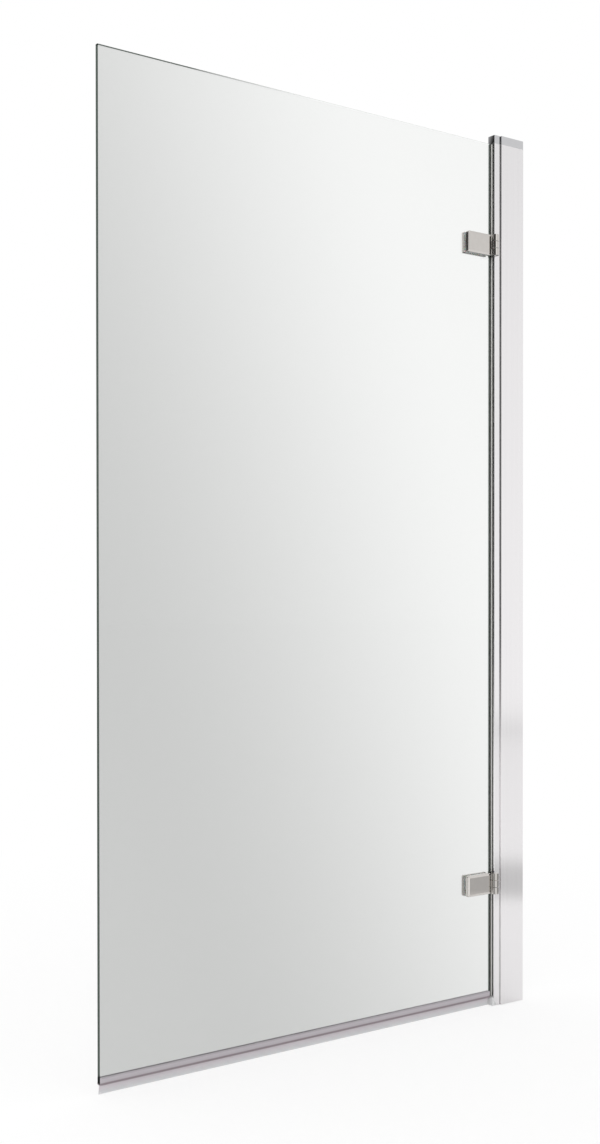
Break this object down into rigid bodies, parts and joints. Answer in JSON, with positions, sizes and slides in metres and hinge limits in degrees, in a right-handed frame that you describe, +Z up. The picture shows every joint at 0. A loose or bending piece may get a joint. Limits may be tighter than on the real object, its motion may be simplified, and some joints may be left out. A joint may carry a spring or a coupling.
{
  "type": "bath screen",
  "caption": "Hinged bath screen: a clear square-cornered glass sheet on an adjustable aluminium wall post, with clamp hinges and seals.",
  "frame": {"origin": "on the wall face, in the middle of the glass's thickness, at the rim of the bath (bottom end of the wall profile)", "axes": "+X out of the back of the post into the wall, so the screen reaches towards -X; +Y to the bath side, -Y to the room; +Z up"},
  "size_m": [0.79, 0.0348, 1.435],
  "materials": {
    "bright_aluminium": "bright polished and anodised",
    "chrome": "polished",
    "stainless": "plain",
    "clear_glass": "clear, polished edges",
    "smoky_seal": "soft translucent",
    "olive_seal": "soft satin",
    "clear_plastic": "clear moulded",
    "cover_plastic": "bright moulded",
    "nylon": "moulded",
    "clear_gasket": "soft"
  },
  "bodies": {
    "wall_post": {"wall_profile": "bright_aluminium", "wall_profile_cap": "chrome", "side_clamp_screws": "stainless", "side_clamp_nuts": "stainless", "screw_cover_caps": "cover_plastic"},
    "adjusting_post": {"adjusting_profile": "bright_aluminium", "adjusting_profile_cap": "chrome", "foot_seal_block": "clear_plastic", "lower_upright_seal": "olive_seal", "middle_upright_seal": "olive_seal", "upper_upright_seal": "olive_seal", "upper_hinge_fixed_leaf": "chrome", "upper_hinge_pin": "stainless", "upper_hinge_leaf_screws": "stainless", "upper_hinge_nut_plate": "stainless", "lower_hinge_fixed_leaf": "chrome", "lower_hinge_pin": "stainless", "lower_hinge_leaf_screws": "stainless", "lower_hinge_nut_plate": "stainless"},
    "glass_leaf": {"glass_panel": "clear_glass", "bottom_seal": "smoky_seal", "upper_hinge_clamp_leaf": "chrome", "upper_hinge_bushes": "nylon", "upper_hinge_front_gasket": "clear_gasket", "upper_hinge_back_gasket": "clear_gasket", "upper_hinge_back_plate": "chrome", "upper_hinge_clamp_screws": "stainless", "upper_hinge_glass_sleeves": "nylon", "lower_hinge_clamp_leaf": "chrome", "lower_hinge_bushes": "nylon", "lower_hinge_front_gasket": "clear_gasket", "lower_hinge_back_gasket": "clear_gasket", "lower_hinge_back_plate": "chrome", "lower_hinge_clamp_screws": "stainless", "lower_hinge_glass_sleeves": "nylon"}
  },
  "joints": [
    {"name": "width_adjustment", "type": "slide", "parent": "wall_post", "child": "adjusting_post", "axis": [-1, 0, 0], "range_m": [0, 0.02]},
    {"name": "door_hinge", "type": "hinge", "parent": "adjusting_post", "child": "glass_leaf", "pos_m": [-0.067, -0.0136, 0], "axis": [0, 0, 1], "range_deg": [0, 90]}
  ]
}
